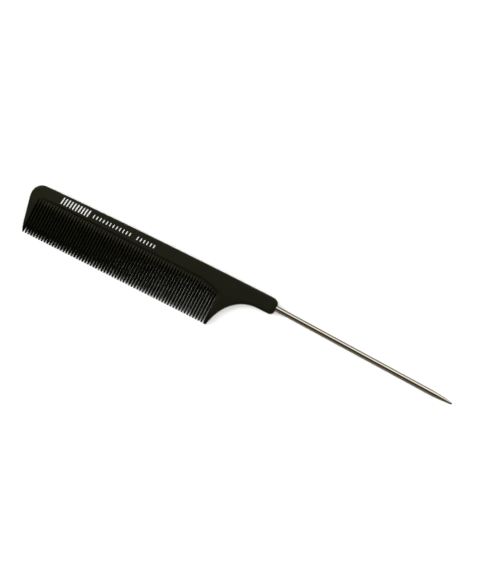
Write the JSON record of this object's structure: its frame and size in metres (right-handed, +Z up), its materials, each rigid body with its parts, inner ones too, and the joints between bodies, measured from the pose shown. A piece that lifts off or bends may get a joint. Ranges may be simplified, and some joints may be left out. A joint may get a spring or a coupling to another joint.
{
  "type": "rat tail comb",
  "caption": "Fine-toothed hairdressing comb in dark plastic with a curved finger rest and a slim steel tail pin set in its neck.",
  "frame": {"origin": "centre of the whole comb's outline, at the underside that it lies on", "axes": "+X along the length from the outer guard to the tail pin's point, +Y from the tooth tips to the spine, +Z up through the thickness"},
  "size_m": [0.2242, 0.0262, 0.0044],
  "materials": {
    "comb_plastic": "satin, moulded",
    "pin_steel": "bright drawn",
    "marking_ink": "printed"
  },
  "bodies": {
    "root": {"comb_moulding": "comb_plastic", "tail_pin": "pin_steel"}
  },
  "joints": []
}
